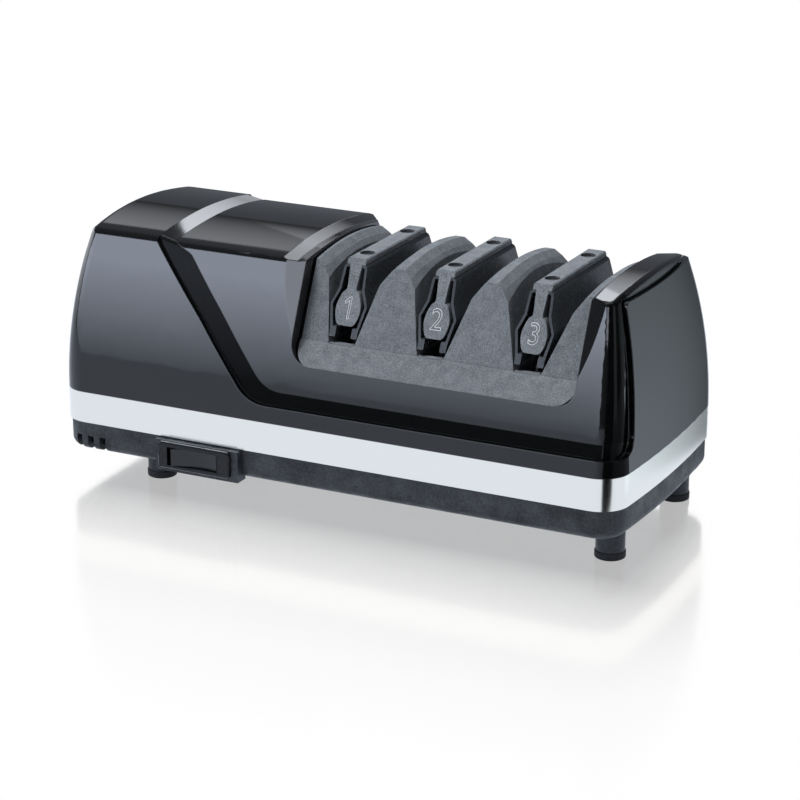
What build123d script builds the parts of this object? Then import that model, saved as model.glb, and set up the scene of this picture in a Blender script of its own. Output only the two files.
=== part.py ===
from build123d import *
from math import atan2, cos, pi, radians, sin, sqrt
import os

# Electric knife sharpener with three stages, a motor block at the left and a low block at the right.
# X runs along the length, the front is at -Y, +Z is up and z = 0 is the table.

# ---------------------------------------------------------------- driving dimensions (mm)
LENGTH = 254.0            # over the trim band
WIDTH = 108.0
HEIGHT = 108.0            # top of the crown over the motor block
HALF_LENGTH = LENGTH / 2
HALF_WIDTH = WIDTH / 2
CORNER = 12.0             # plan corner radius at the band
END_BOW = 2.8             # how far the ends bulge in plan

# Base tub, trim band and feet
TUB_BOTTOM = 12.5
TUB_INSET = 0.8
TUB_FLOOR = 2.5
TUB_EDGE = 4.0
BAND_BOTTOM = 25.1
BAND_TOP = 38.3
BAND_WALL = 1.6
SEAT_GAP = 0.15           # band to the rim that it is pushed over
RIM_WALL = 2.0
FOOT_X_LEFT = -HALF_LENGTH + 39.6
FOOT_X_RIGHT = HALF_LENGTH - 11.8
FOOT_Y = HALF_WIDTH - 19.0
POST_DIAMETER = 11.7
PAD_DIAMETER = 12.4
PAD_HEIGHT = 3.2
VENT_PITCH = 5.7
VENT_WIDTH = 2.9
VENT_TOP = 19.0
VENT_FIRST_X = -HALF_LENGTH + 10.6
VENT_COUNT = 3
VENT_DEPTH = 9.0

# Upper housing
FACE_RADIUS = 196.0       # front and rear faces, seen from the end
FACE_LEAN = 3.0           # degrees at the band
END_RADIUS = 300.0
END_LEAN = 0.6
CORNER_TOP = 4.0          # plan corner radius at the top, where the corner is much sharper
CROWN_HALF = 60.0
CROWN_DROP = 8.6          # fall of the crown at CROWN_HALF from the middle
TOP_EDGE = 3.2
STEP_INSET = 1.2          # inner body lies this far inside the outer one
STEP_TOP = 1.5            # and this much lower
INNER_EDGE = 2.6
GROOVE_DEPTH = 2.4
GROOVE_TOP_DROP = 2.8
GROOVE_EDGE = 2.4
HOUSING_WALL = 2.5
RAMP_START = -HALF_LENGTH + 43.0
RAMP_WIDTH = 7.5
RAMP_END = RAMP_START + RAMP_WIDTH
SADDLE_LEFT = -17.3
SADDLE_RIGHT = HALF_LENGTH - 22.2
SADDLE_FLOOR = 63.5
SADDLE_CORNER = 8.0
WINDOW_HALF_Y = 40.0
LIP_WIDTH = 6.0           # sloping lip of the motor block beside the opening
LIP_DROP = 1.2
EDGE_WIDTH = 3.2          # turned-over edge of the opening's walls
EDGE_SLOPE = 0.8
BEVEL_LOW_Z = 74.0        # lowest point of the triangular facets beside the opening
BEVEL_WIDTH = 7.6
BEVEL_TOP_DROP = 6.0
BEVEL_RISE = 2.6          # facet's top on the wall above its top on the face
BEVEL_LEAN_Y = 8.9        # from the facet's lowest point back to its top, on the face
BEVEL_WALL_Y = 13.6       # and on the wall
BEVEL_REAR_WALL_Y = 20.6  # on the wall at the rear, where the facet is larger

# Wide groove round the motor block: its outer border, nearer the ends, and its inner border
GROOVE_KNEE_X = 24.6      # the border leaves the top edge here, measured from the ramp
GROOVE_KNEE_DROP = 32.1
GROOVE_OUTER_FOOT = (-35.3, BAND_TOP + 6.9)
GROOVE_INNER_FOOT = (-28.2, BAND_TOP + 12.9)
RAMP_EDGE_DROP = 4.8      # height lost from the crown to the ramp's front end

# Panel that covers the right end and the rear corner there, framed by the groove
PANEL_START_X = HALF_LENGTH - 13.5
PANEL_FOOT_INSET = 14.5   # its upright edge from the body's side, at the foot and at the top
PANEL_TOP_INSET = 8.2
PANEL_TOP_DROP = 6.0      # its upper edge below the crown
PANEL_CORNER = 2.0
PANEL_FOOT_CORNER = 7.0
PANEL_GAP_TOP = 1.1       # groove between the panel and the block
PANEL_GAP_FOOT = 6.5
PANEL_GAP_REAR = 4.0

# Stages
STAGE_X = (1.2, 40.1, 81.5)
SHAFT_Z = 52.0
SHAFT_DIAMETER = 6.0
DISC_RADIUS = 26.0
DISC_RIM_RADIUS = 20.5
DISC_INNER_X = 4.2        # inner face of a disc from the middle of its stage
DISC_THICKNESS = 5.3
DISC_CLEARANCE = 1.0
HUB_RADIUS = 8.0
HUB_OUTER_X = 10.0
PIN_DIAMETER = 2.5
PIN_LENGTH = 15.0
PIN_GAP = 0.3
SPRING_RADIUS = 5.2
SPRING_WIRE = 0.9
SPRING_TURNS = 2.5

# Guide insert
INSERT_GAP = 0.7
LEDGE_TOP = 71.6
LEDGE_HALF_Y = HALF_WIDTH - 12.0        # top of the sloping ledge
LEDGE_FOOT_HALF_Y = HALF_WIDTH - 3.3
FIN_FOOT_HALF_Y = HALF_WIDTH - 12.7
SEAM_DEPTH = 0.8          # groove between the ledge and the feet of the fins
SEAM_WIDTH = 0.5
FIN_LEAN = 0.46           # how far the fin fronts lean back for each mm of height
SLOT_HALF = 5.7           # half-width of a slot at the top of the ledge
SLOT_FLOOR = 66.0
LEDGE_WALL = 3.2
FIN_PEAK = 104.1
FIN_CROWN_RADIUS = 140.0
RIDGE_HALF = 2.0
FACET_HALF = 5.0
FACET_DROP = 2.4
SHOULDER_HALF = 7.5
SHOULDER_DROP = 5.5
SHOULDER_Z = 95.5
END_FIN_OFFSET = 1.3
RIB_HALF = 1.9
RIB_TOP = 68.0
RIB_INNER_Y = 14.0

# Spines, caps and spring guides
CAP_TOP = 103.5
CAP_HALF = 4.0
CAP_HALF_Y = HALF_WIDTH - 25.5
CAP_BAR = 2.3
WEB = 1.1
LEAF = 1.0
NECK_HALF = 2.5
PEAR_HALF = 5.4
PEAR_Z = 84.5
PEAR_BOTTOM = 78.6
PEAR_FOOT = 2.6
WAIST_HALF = 2.0
WAIST_RISE = 9.2          # from the widest part of the pear up to its waist
LEG_Y = 18.0
LEG_LENGTH = 5.0
RECESS_DIAMETER = 6.2
RECESS_DEPTH = 1.7
SCREW_SHANK = 2.0
SCREW_HEAD = 5.4
SCREW_HEAD_HEIGHT = 0.9
SCREW_FIT = 0.1
WEB_HALF_Y = CAP_HALF_Y - 2.2

# Switch
SWITCH_X = -HALF_LENGTH + 68.1
BOSS_LEFT = SWITCH_X - 18.1
BOSS_RIGHT = SWITCH_X + 20.4
BOSS_BOTTOM = 11.3
BOSS_TOP = 24.5
BOSS_FACE_Y = -HALF_WIDTH - 2.5
BEZEL_LEFT = SWITCH_X - 16.1
BEZEL_RIGHT = SWITCH_X + 17.2
BEZEL_BOTTOM = 13.0
BEZEL_TOP = 24.3
BEZEL_FACE_Y = BOSS_FACE_Y - 1.9
BEZEL_CORNER = 1.5
WINDOW_HALF_X = 11.7
WINDOW_BOTTOM = 14.5
WINDOW_TOP = 22.4
SLEEVE_WALL = 0.8
SLEEVE_BACK_Y = BOSS_FACE_Y + 12.5
ROCKER_HALF = 10.0
ROCKER_GAP = 0.35
ROCKER_FACE_Y = BEZEL_FACE_Y + 0.4
ROCKER_BACK_Y = ROCKER_FACE_Y + 6.0
ROCKER_DISH = 1.5
ROCKER_PIVOT_Y = ROCKER_FACE_Y + 4.5
ROCKER_TILT = 7.0
SWITCH_BODY_FRONT_Y = ROCKER_BACK_Y + 2.0
SWITCH_BODY_BACK_Y = SWITCH_BODY_FRONT_Y + 16.0
TERMINAL_LENGTH = 6.0
TERMINAL_THICKNESS = 0.8
TERMINAL_X = 5.0          # from the middle of the switch
TERMINAL_INSET = 1.5

# Cord inlet
INLET_X = -HALF_LENGTH + 27.0
INLET_Z = 20.05
INLET_FLANGE = 9.9
INLET_HOLE = 7.6
INLET_BORE = 5.8
INLET_TIP_Y = HALF_WIDTH + 3.5
INLET_LIP = 2.0           # flange outside the wall
INLET_TAIL = 3.0          # and the catch inside it

# Motor
STATOR_LEFT = -HALF_LENGTH + 39.0
STATOR_RIGHT = STATOR_LEFT + 30.0
STATOR_SIDE = 60.0
STATOR_CHAMFER = 4.0
COIL_FIT = 0.2
ROTOR_DIAMETER = 33.2
AIR_GAP = 0.4
COIL_INNER_HALF = 18.0
COIL_OUTER_HALF = 25.0
COIL_NEAR = 10.0
COIL_FAR = 18.0
COIL_OVERHANG = 5.0
COIL_CORNER = 4.0
PILLAR_DIAMETER = 7.5
BRACKET_SHEET = 2.5
BRACKET_FOOT_INSET = 8.0
BRACKET_GAP = 9.5         # length of the bracket's pillars
MOTOR_SCREW = 4.0
MOTOR_SCREW_Y = 26.0
MOTOR_SCREW_HEAD = 7.2
MOTOR_SCREW_HEAD_HEIGHT = 2.6
MOTOR_NUT_HEIGHT = 3.0
BUSH_DIAMETER = 12.0
BUSH_LENGTH = 8.0
RUNNING_FIT = 0.05
ROTOR_END_GAP = 0.5
FAN_LEFT = -HALF_LENGTH + 12.0
FAN_WIDTH = 10.0
FAN_RADIUS = 24.0
FAN_HUB_DIAMETER = 14.0
FAN_DISC = 1.6
FAN_BLADE = 1.6
FAN_BLADES = 7
SHAFT_LEFT = FAN_LEFT - 1.5
FAR_BRACKET_X = STAGE_X[-1] + 18.5
SHAFT_RIGHT = FAR_BRACKET_X + 8.0
FAR_BRACKET_HALF = 18.0
FAR_BRACKET_RISE = 8.5    # plate above the shaft's middle
FAR_BRACKET_CHAMFER = 3.0
FAR_FOOT_HALF = 14.0
FAR_FOOT_LENGTH = 8.0

# Clean-out cover and housing screws
COVER_LEFT = 12.0
COVER_RIGHT = 76.0
COVER_HALF_Y = 18.0
COVER_SHEET = 1.4
COVER_LEDGE = 2.5
COVER_GAP = 0.3
TRAY_WALL = 1.5
TRAY_RISE = 2.0           # tray wall above the tub's floor
MAGNET_LENGTH = 40.0
MAGNET_WIDTH = 8.0
MAGNET_HEIGHT = 4.0
HOUSING_POST = 8.0
HOUSING_SCREW = 3.0
HOUSING_SCREW_HEAD = 6.4
HOUSING_SCREW_TOP = 50.0
HEAD_SEAT_Z = 8.0
HEAD_HEIGHT = 2.4
PLUG_DEPTH = 1.8          # foot pad's plug in the screw hole

SHAFT_RADIUS = SHAFT_DIAMETER / 2
FEET = [(x, y) for x in (FOOT_X_LEFT, FOOT_X_RIGHT) for y in (-FOOT_Y, FOOT_Y)]
FAR = 200.0               # longer than the body, for cuts that go right through


# ---------------------------------------------------------------- shared shapes
def box(x, y, z):
    """A box from three (low, high) pairs."""
    block = Box(x[1] - x[0], y[1] - y[0], z[1] - z[0])
    return Pos((x[0] + x[1]) / 2, (y[0] + y[1]) / 2, (z[0] + z[1]) / 2) * block


def rod(start, end, diameter, axis="z", at=(0, 0)):
    """A round rod along one axis; at gives its other two coordinates in the order x, y, z."""
    body = Cylinder(diameter / 2, end - start)
    middle = (start + end) / 2
    if axis == "x":
        return Pos(middle, at[0], at[1]) * Rot(0, 90, 0) * body
    if axis == "y":
        return Pos(at[0], middle, at[1]) * Rot(90, 0, 0) * body
    return Pos(at[0], at[1], middle) * body


def outline(points, radii=0.0):
    """A closed face through the points, with its corners rounded."""
    return make_face(FilletPolyline(*points, radius=radii, close=True).edges())


def across(face):
    """Carries a face drawn in (x, z) through the whole width."""
    return extrude(Plane.XZ * face, amount=FAR, both=True)


def along(face, half):
    """Carries a face drawn in (x, z) from y = -half to y = half."""
    return extrude(Plane.XZ * face, amount=half, both=True)


def lengthwise(face):
    """Carries a face drawn in (y, z) along the whole length."""
    return extrude(Plane.YZ * face, amount=FAR, both=True)


def bowed_plan(half_length, half_width, corner, z):
    """A rounded rectangle whose two ends are shallow arcs."""
    end_radius = (half_width ** 2 + END_BOW ** 2) / (2 * END_BOW)
    end_centre = half_length - end_radius
    straight = end_centre + sqrt((end_radius - corner) ** 2 - (half_width - corner) ** 2)
    turn = atan2(half_width - corner, straight - end_centre)
    tip = (end_centre + end_radius * cos(turn), end_radius * sin(turn))
    knee_angle = pi / 4 + turn / 2
    knee = (straight + corner * cos(knee_angle), half_width - corner + corner * sin(knee_angle))
    with BuildSketch(Plane.XY.offset(z)) as plan:
        with BuildLine():
            Line((-straight, -half_width), (straight, -half_width))
            ThreePointArc((straight, -half_width), (knee[0], -knee[1]), (tip[0], -tip[1]))
            ThreePointArc((tip[0], -tip[1]), (half_length, 0), tip)
            ThreePointArc(tip, knee, (straight, half_width))
            Line((straight, half_width), (-straight, half_width))
            ThreePointArc((-straight, half_width), (-knee[0], knee[1]), (-tip[0], tip[1]))
            ThreePointArc((-tip[0], tip[1]), (-half_length, 0), (-tip[0], -tip[1]))
            ThreePointArc((-tip[0], -tip[1]), (-knee[0], -knee[1]), (-straight, -half_width))
        make_face()
    return plan.sketch


def body_slab(inset, low, high):
    """A straight-sided slab of the body's plan, inset all round."""
    plan = bowed_plan(HALF_LENGTH - inset, HALF_WIDTH - inset, CORNER - inset, low)
    return extrude(plan, amount=high - low)


# ---------------------------------------------------------------- upper housing
def lean(z, radius, start):
    """How far a face on a circle has come in at height z above the band."""
    rise = sin(radians(start)) + (z - BAND_TOP) / radius
    return radius * (cos(radians(start)) - sqrt(1 - rise ** 2))


def tapered_body(inset):
    """The housing's sides, lofted through five plans and open-ended at the top."""
    sections = []
    for share in (0, 0.3, 0.6, 0.85, 1.15):
        z = BAND_TOP + share * (HEIGHT - BAND_TOP)
        corner = (1 - inset / CORNER) * (CORNER + share * (CORNER_TOP - CORNER))
        sections.append(bowed_plan(HALF_LENGTH - inset - lean(z, END_RADIUS, END_LEAN),
                                   HALF_WIDTH - inset - lean(z, FACE_RADIUS, FACE_LEAN), corner, z))
    return loft(sections)


def crown(top, slope=0.0, level_x=0.0):
    """Everything below a crowned roof, whose ridge has height top at level_x and falls with slope."""
    start_top = top - slope * (-FAR - level_x)
    edge = start_top - CROWN_DROP
    floor = BAND_TOP - 40 - abs(slope) * 2 * FAR
    with BuildSketch(Plane.YZ.offset(-FAR)) as section:
        with BuildLine():
            ThreePointArc((-CROWN_HALF, edge), (0, start_top), (CROWN_HALF, edge))
            Polyline((CROWN_HALF, edge), (CROWN_HALF, floor), (-CROWN_HALF, floor), (-CROWN_HALF, edge))
        make_face()
    return Solid.extrude(section.sketch.faces()[0], Vector(2 * FAR, 0, -slope * 2 * FAR))


def skin(inset, roof, edge):
    """A closed block of the tapered body under a roof, with a rounded top edge."""
    block = (tapered_body(inset) & roof).solids()[0]
    top = block.faces().sort_by(Axis.Z)[-1]
    return fillet(top.edges(), edge)


def groove_border(top_x, diagonal, foot, radii):
    """One border of the wide groove: down the front from the top and along above the band."""
    top_z = HEIGHT + 10
    points = [(top_x, top_z)] + diagonal + [foot, (FAR, foot[1]), (FAR, top_z)]
    return across(outline(points, radii))


def end_panel(foot_z, foot_gap, top_gap, foot_corner, start_x):
    """The right-hand end panel from start_x on, with the strip under the groove, let out by the gaps."""
    top_z = HEIGHT - PANEL_TOP_DROP
    foot_y = PANEL_FOOT_INSET - foot_gap - HALF_WIDTH + lean(foot_z, FACE_RADIUS, FACE_LEAN)
    top_y = PANEL_TOP_INSET - top_gap - HALF_WIDTH + lean(top_z, FACE_RADIUS, FACE_LEAN)
    points = [(-FAR, BAND_TOP - 1), (-FAR, foot_z), (foot_y, foot_z), (top_y, top_z + top_gap),
              (FAR, top_z + top_gap), (FAR, BAND_TOP - 1)]
    face = outline(points, [0, 0, foot_corner, PANEL_CORNER, 0, 0])
    return lengthwise(face) & box((start_x, FAR), (-FAR, FAR), (0, FAR))


def saddle_outline(gap, floor):
    """The opening for the sharpening section, drawn in (x, z)."""
    low_x = SADDLE_LEFT + gap
    high_x = SADDLE_RIGHT - gap
    top_z = HEIGHT + 10
    points = [(low_x, floor), (high_x, floor), (high_x, top_z), (low_x, top_z)]
    corner = SADDLE_CORNER - min(gap, 0)
    return outline(points, [corner, corner, 0, 0])


def corner_bevel(wall_x, way, side):
    """The triangular facet where a wall of the opening meets the front (side -1) or the rear face."""
    low_y = HALF_WIDTH - lean(BEVEL_LOW_Z, FACE_RADIUS, FACE_LEAN) - STEP_INSET
    low = Vector(wall_x, side * low_y, BEVEL_LOW_Z)
    face_top = Vector(wall_x - way * BEVEL_WIDTH, side * (low_y - BEVEL_LEAN_Y), HEIGHT - BEVEL_TOP_DROP)
    wall_y = low_y - (BEVEL_WALL_Y if side < 0 else BEVEL_REAR_WALL_Y)
    wall_top = Vector(wall_x, side * wall_y, HEIGHT - BEVEL_TOP_DROP + BEVEL_RISE)
    normal = (face_top - low).cross(wall_top - low).normalized()
    if normal.Y * side < 0:
        normal = normal * -1
    half_space = Plane(origin=low, z_dir=normal) * Pos(0, 0, 40) * Box(200, 200, 80)
    reach = sorted((wall_x - way * 40, wall_x + way))
    return half_space & box(reach, (-FAR, FAR), (SADDLE_FLOOR + 3, HEIGHT + 20))


def slope_roof(block, start_x, way, slope, height):
    """Lowers the roof from start_x towards the middle of the opening."""
    reach = sorted((start_x, start_x + way * (SADDLE_RIGHT - SADDLE_LEFT) / 2))
    above = box(reach, (-FAR, FAR), (HEIGHT - 30, HEIGHT + 5)) - crown(height, way * slope, start_x)
    return block - above


def make_upper_housing():
    ramp_foot_z = HEIGHT - RAMP_EDGE_DROP
    knee_z = HEIGHT - GROOVE_KNEE_DROP
    outer_border = groove_border(RAMP_START, [(RAMP_START, ramp_foot_z), (RAMP_START + GROOVE_KNEE_X, knee_z)],
                                 GROOVE_OUTER_FOOT, [0, 3, 60, 16, 0, 0])
    inner_diagonal = [(RAMP_END, ramp_foot_z + 0.1), (RAMP_END + 8.9, ramp_foot_z - 3.7),
                      (RAMP_END + GROOVE_KNEE_X + 1.9, knee_z + 3.1)]
    inner_border = groove_border(RAMP_END, inner_diagonal, GROOVE_INNER_FOOT, [0, 0, 6, 60, 15, 0, 0])
    panel = end_panel(GROOVE_OUTER_FOOT[1], 0, 0, PANEL_FOOT_CORNER, PANEL_START_X)
    panel_room = end_panel(GROOVE_INNER_FOOT[1], PANEL_GAP_FOOT, PANEL_GAP_TOP, 0, PANEL_START_X - PANEL_GAP_REAR)
    inner_top = HEIGHT - STEP_TOP
    ramp_slope = STEP_TOP / RAMP_WIDTH
    split_x = RAMP_START + 24.0

    outer_skin = skin(0, crown(HEIGHT), TOP_EDGE)
    inner_skin = skin(STEP_INSET, crown(inner_top), INNER_EDGE)
    floor_skin = skin(GROOVE_DEPTH, crown(HEIGHT - GROOVE_TOP_DROP), GROOVE_EDGE)
    ramp_skin = skin(GROOVE_DEPTH, crown(HEIGHT, ramp_slope, RAMP_START), GROOVE_EDGE)

    # The inner body's roof slopes gently down towards the opening and turns over its edge
    lip_start = SADDLE_LEFT - EDGE_WIDTH - LIP_WIDTH
    inner_skin = slope_roof(inner_skin, lip_start, 1, LIP_DROP / LIP_WIDTH, inner_top)
    inner_skin = slope_roof(inner_skin, SADDLE_LEFT - EDGE_WIDTH, 1, EDGE_SLOPE, inner_top - LIP_DROP)
    inner_skin = slope_roof(inner_skin, SADDLE_RIGHT + EDGE_WIDTH / 2, -1, EDGE_SLOPE, inner_top)

    housing = floor_skin & box((split_x, FAR), (-FAR, FAR), (0, FAR))
    housing = housing + (ramp_skin & outer_border & box((-FAR, split_x), (-FAR, FAR), (0, FAR)))
    housing = housing + (outer_skin - outer_border) + (outer_skin & panel)
    housing = housing + ((inner_skin & inner_border) - panel_room)

    cavity_inset = GROOVE_DEPTH + HOUSING_WALL
    cavity = tapered_body(cavity_inset) & crown(HEIGHT - GROOVE_TOP_DROP - HOUSING_WALL)
    posts = Part()
    for x, y in FEET:
        posts = posts + rod(BAND_TOP, HEIGHT - 14, HOUSING_POST, at=(x, y))
    saddle_tray = across(saddle_outline(-HOUSING_WALL, SADDLE_FLOOR - HOUSING_WALL))
    housing = housing - (cavity - saddle_tray - posts)
    housing = housing - across(saddle_outline(0, SADDLE_FLOOR))
    window_x = (SADDLE_LEFT + SADDLE_CORNER, SADDLE_RIGHT - SADDLE_CORNER)
    housing = housing - box(window_x, (-WINDOW_HALF_Y, WINDOW_HALF_Y), (SADDLE_FLOOR - 5, SADDLE_FLOOR + 5))
    for side in (-1, 1):
        housing = housing - corner_bevel(SADDLE_LEFT, 1, side)
        housing = housing - corner_bevel(SADDLE_RIGHT, -1, side)
    for x, y in FEET:
        housing = housing - rod(BAND_TOP - 1, HOUSING_SCREW_TOP + 2, HOUSING_SCREW + 2 * SCREW_FIT, at=(x, y))
    return housing


# ---------------------------------------------------------------- base, band and feet
def make_trim_band():
    return body_slab(0, BAND_BOTTOM, BAND_TOP) - body_slab(BAND_WALL, BAND_BOTTOM - 1, BAND_TOP + 1)


def make_base_tub():
    rim_outer = BAND_WALL + SEAT_GAP
    cavity_inset = rim_outer + RIM_WALL
    tub = body_slab(TUB_INSET, TUB_BOTTOM, BAND_BOTTOM)
    tub = fillet(tub.faces().sort_by(Axis.Z)[0].edges(), TUB_EDGE)
    tub = tub + body_slab(rim_outer, BAND_BOTTOM, BAND_TOP)
    # Boss that carries the switch
    tub = tub + box((BOSS_LEFT, BOSS_RIGHT), (BOSS_FACE_Y, -HALF_WIDTH + cavity_inset),
                    (BOSS_BOTTOM, BOSS_TOP))
    floor_z = TUB_BOTTOM + TUB_FLOOR
    tub = tub - body_slab(cavity_inset, floor_z, BAND_TOP + 1)
    # Posts: the screw passes up through each foot into the housing
    for x, y in FEET:
        tub = tub + rod(PAD_HEIGHT, floor_z, POST_DIAMETER, at=(x, y))
        tub = tub + rod(floor_z, BAND_TOP, HOUSING_POST, at=(x, y))
        tub = tub - rod(HEAD_SEAT_Z, BAND_TOP + 1, HOUSING_SCREW + 2 * SCREW_FIT, at=(x, y))
        tub = tub - rod(PAD_HEIGHT - 1, HEAD_SEAT_Z, HOUSING_SCREW_HEAD + 4 * SCREW_FIT, at=(x, y))
    # Vent notches at the fan end, front and rear
    for index in range(VENT_COUNT):
        x = VENT_FIRST_X + index * VENT_PITCH
        for side in (-1, 1):
            span = sorted((side * (HALF_WIDTH - VENT_DEPTH), side * (HALF_WIDTH + 2)))
            tub = tub - box((x - VENT_WIDTH / 2, x + VENT_WIDTH / 2), span, (TUB_BOTTOM - 1, VENT_TOP))
    # Clean-out opening with a ledge for its cover
    tub = tub - box((COVER_LEFT, COVER_RIGHT), (-COVER_HALF_Y, COVER_HALF_Y),
                    (TUB_BOTTOM - 1, TUB_BOTTOM + COVER_SHEET))
    tub = tub - box((COVER_LEFT + COVER_LEDGE, COVER_RIGHT - COVER_LEDGE),
                    (-COVER_HALF_Y + COVER_LEDGE, COVER_HALF_Y - COVER_LEDGE), (TUB_BOTTOM, floor_z + 1))
    # Openings for the switch and the cord inlet
    clear = SLEEVE_WALL + SCREW_FIT
    tub = tub - box((SWITCH_X - WINDOW_HALF_X - clear, SWITCH_X + WINDOW_HALF_X + clear),
                    (BOSS_FACE_Y - 1, SLEEVE_BACK_Y), (WINDOW_BOTTOM - clear, WINDOW_TOP + clear))
    tub = tub - rod(HALF_WIDTH - 10, HALF_WIDTH + 2, INLET_HOLE, "y", (INLET_X, INLET_Z))
    return tub


def make_foot_pad(x, y):
    pad = rod(0, PAD_HEIGHT, PAD_DIAMETER, at=(x, y))
    pad = fillet(pad.edges().filter_by(GeomType.CIRCLE), 0.6)
    return pad + rod(PAD_HEIGHT - 0.5, PAD_HEIGHT + PLUG_DEPTH, HOUSING_SCREW_HEAD, at=(x, y))


def make_housing_screws():
    screws = []
    for x, y in FEET:
        screw = rod(HEAD_SEAT_Z, HOUSING_SCREW_TOP, HOUSING_SCREW, at=(x, y))
        screws.append(screw + rod(HEAD_SEAT_Z - HEAD_HEIGHT, HEAD_SEAT_Z, HOUSING_SCREW_HEAD, at=(x, y)))
    return screws


def make_clean_out_cover():
    cover = box((COVER_LEFT + COVER_GAP, COVER_RIGHT - COVER_GAP),
                (-COVER_HALF_Y + COVER_GAP, COVER_HALF_Y - COVER_GAP),
                (TUB_BOTTOM, TUB_BOTTOM + COVER_SHEET))
    inner = COVER_LEDGE + COVER_GAP
    tray = box((COVER_LEFT + inner, COVER_RIGHT - inner), (-COVER_HALF_Y + inner, COVER_HALF_Y - inner),
               (TUB_BOTTOM + COVER_SHEET, TUB_BOTTOM + TUB_FLOOR + TRAY_RISE))
    inner = inner + TRAY_WALL
    hollow = box((COVER_LEFT + inner, COVER_RIGHT - inner), (-COVER_HALF_Y + inner, COVER_HALF_Y - inner),
                 (TUB_BOTTOM + COVER_SHEET, TUB_BOTTOM + TUB_FLOOR + TRAY_RISE + 1))
    return cover + (tray - hollow)


def make_clean_out_magnet():
    middle = (COVER_LEFT + COVER_RIGHT) / 2
    low = TUB_BOTTOM + COVER_SHEET
    return box((middle - MAGNET_LENGTH / 2, middle + MAGNET_LENGTH / 2), (-MAGNET_WIDTH / 2, MAGNET_WIDTH / 2),
               (low, low + MAGNET_HEIGHT))


def make_cord_inlet_bush():
    wall_y = HALF_WIDTH - TUB_INSET
    inner_y = HALF_WIDTH - BAND_WALL - SEAT_GAP - RIM_WALL
    at = (INLET_X, INLET_Z)
    bush = rod(inner_y - INLET_TAIL, INLET_TIP_Y, INLET_HOLE, "y", at)
    bush = bush + rod(wall_y, wall_y + INLET_LIP, INLET_FLANGE, "y", at)
    bush = bush + rod(inner_y - INLET_TAIL, inner_y, INLET_FLANGE, "y", at)
    bush = bush - rod(inner_y - INLET_TAIL - 1, INLET_TIP_Y + 1, INLET_BORE, "y", at)
    return bush


# ---------------------------------------------------------------- switch
def make_switch_bezel():
    frame = outline([(BEZEL_LEFT, BEZEL_BOTTOM), (BEZEL_RIGHT, BEZEL_BOTTOM),
                     (BEZEL_RIGHT, BEZEL_TOP), (BEZEL_LEFT, BEZEL_TOP)], BEZEL_CORNER)
    plate = Pos(0, BOSS_FACE_Y, 0) * extrude(Plane.XZ * frame, amount=BOSS_FACE_Y - BEZEL_FACE_Y)
    plate = chamfer(plate.faces().sort_by(Axis.Y)[0].edges(), 0.5)
    window_x = (SWITCH_X - WINDOW_HALF_X, SWITCH_X + WINDOW_HALF_X)
    sleeve = box((window_x[0] - SLEEVE_WALL, window_x[1] + SLEEVE_WALL), (BOSS_FACE_Y - 0.5, SLEEVE_BACK_Y),
                 (WINDOW_BOTTOM - SLEEVE_WALL, WINDOW_TOP + SLEEVE_WALL))
    return plate + sleeve - box(window_x, (BEZEL_FACE_Y - 1, SLEEVE_BACK_Y + 1), (WINDOW_BOTTOM, WINDOW_TOP))


def make_switch_body():
    fit = 2 * SCREW_FIT
    body = box((SWITCH_X - WINDOW_HALF_X + fit, SWITCH_X + WINDOW_HALF_X - fit),
               (SWITCH_BODY_FRONT_Y, SWITCH_BODY_BACK_Y), (TUB_BOTTOM + TUB_FLOOR + fit, WINDOW_TOP - fit))
    for step in (-1, 1):
        x = SWITCH_X + step * TERMINAL_X
        body = body + box((x - TERMINAL_THICKNESS / 2, x + TERMINAL_THICKNESS / 2),
                          (SWITCH_BODY_BACK_Y, SWITCH_BODY_BACK_Y + TERMINAL_LENGTH),
                          (WINDOW_BOTTOM + TERMINAL_INSET, WINDOW_TOP - TERMINAL_INSET))
    return body


def make_rocker_button():
    radius = (ROCKER_HALF ** 2 + ROCKER_DISH ** 2) / (2 * ROCKER_DISH)
    low = WINDOW_BOTTOM + ROCKER_GAP
    high = WINDOW_TOP - ROCKER_GAP
    button = box((-ROCKER_HALF, ROCKER_HALF), (ROCKER_FACE_Y, ROCKER_BACK_Y), (low, high))
    dish = rod(low - 1, high + 1, 2 * radius, at=(0, ROCKER_FACE_Y + ROCKER_DISH - radius))
    button = button - dish
    turned = Pos(SWITCH_X, ROCKER_PIVOT_Y, 0) * Rot(0, 0, ROCKER_TILT) * Pos(0, -ROCKER_PIVOT_Y, 0)
    return turned * button


# ---------------------------------------------------------------- guide insert
def leaning_section(inset=0.0, foot=SADDLE_FLOOR):
    """Everything between the two leaning front and rear planes of the insert, with its ledges."""
    top_z = FIN_PEAK + 6
    top_y = FIN_FOOT_HALF_Y - FIN_LEAN * (top_z - LEDGE_TOP) - inset
    right = [(LEDGE_FOOT_HALF_Y - inset, foot), (LEDGE_HALF_Y - inset, LEDGE_TOP),
             (FIN_FOOT_HALF_Y - inset, LEDGE_TOP), (top_y, top_z)]
    left = [(-y, z) for y, z in reversed(right)]
    return lengthwise(outline(right + left))


def fin_outline(centre, foot_half, inset=0.0, foot=SADDLE_FLOOR):
    """Flanks of one fin, drawn in (x, z)."""
    slope = (foot_half - SHOULDER_HALF) / (SHOULDER_Z - LEDGE_TOP)
    top_z = FIN_PEAK + 6
    top_half = SHOULDER_HALF - slope * (top_z - SHOULDER_Z) - inset
    base_half = foot_half - inset
    return outline([(centre - base_half, foot), (centre + base_half, foot), (centre + base_half, LEDGE_TOP),
                    (centre + top_half, top_z), (centre - top_half, top_z), (centre - base_half, LEDGE_TOP)])


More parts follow.
